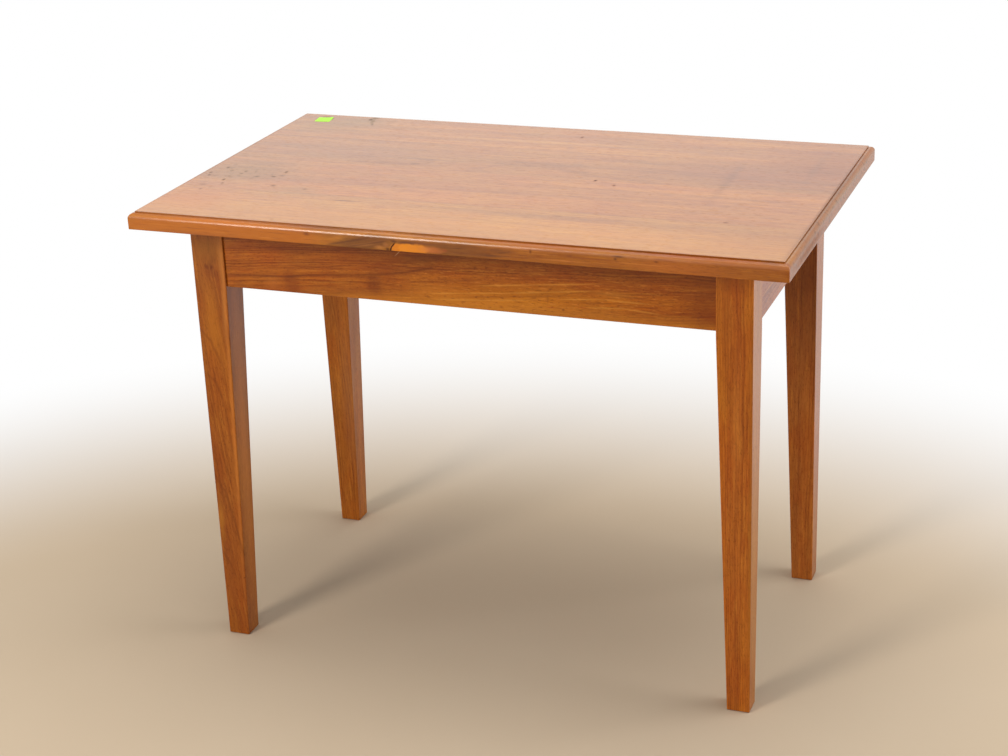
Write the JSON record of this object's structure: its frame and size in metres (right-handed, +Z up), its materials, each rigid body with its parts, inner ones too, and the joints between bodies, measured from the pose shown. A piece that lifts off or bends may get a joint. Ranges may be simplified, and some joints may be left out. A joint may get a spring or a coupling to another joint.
{
  "type": "side table",
  "caption": "Rectangular solid wood side table: inner-tapered square legs, plain aprons and a flat top with a stepped round moulded edge.",
  "frame": {"origin": "on the floor, under the middle of the table", "axes": "+X to the right along the front, +Y from the front to the back, +Z up"},
  "size_m": [0.71, 0.433, 0.522],
  "materials": {
    "cherry_top": "satin oiled",
    "cherry_frame": "satin oiled",
    "maple_buttons": "bare",
    "steel_screws": "satin"
  },
  "bodies": {
    "root": {"front_left_leg": "cherry_frame", "front_right_leg": "cherry_frame", "rear_left_leg": "cherry_frame", "rear_right_leg": "cherry_frame", "front_apron": "cherry_frame", "right_apron": "cherry_frame", "rear_apron": "cherry_frame", "left_apron": "cherry_frame", "front_board": "cherry_top", "front_middle_board": "cherry_top", "rear_middle_board": "cherry_top", "rear_board": "cherry_top", "front_button_1": "maple_buttons", "front_button_2": "maple_buttons", "front_button_3": "maple_buttons", "rear_button_1": "maple_buttons", "rear_button_2": "maple_buttons", "rear_button_3": "maple_buttons", "right_button": "maple_buttons", "left_button": "maple_buttons", "front_screw_1": "steel_screws", "front_screw_2": "steel_screws", "front_screw_3": "steel_screws", "rear_screw_1": "steel_screws", "rear_screw_2": "steel_screws", "rear_screw_3": "steel_screws", "right_screw": "steel_screws", "left_screw": "steel_screws"}
  },
  "joints": []
}
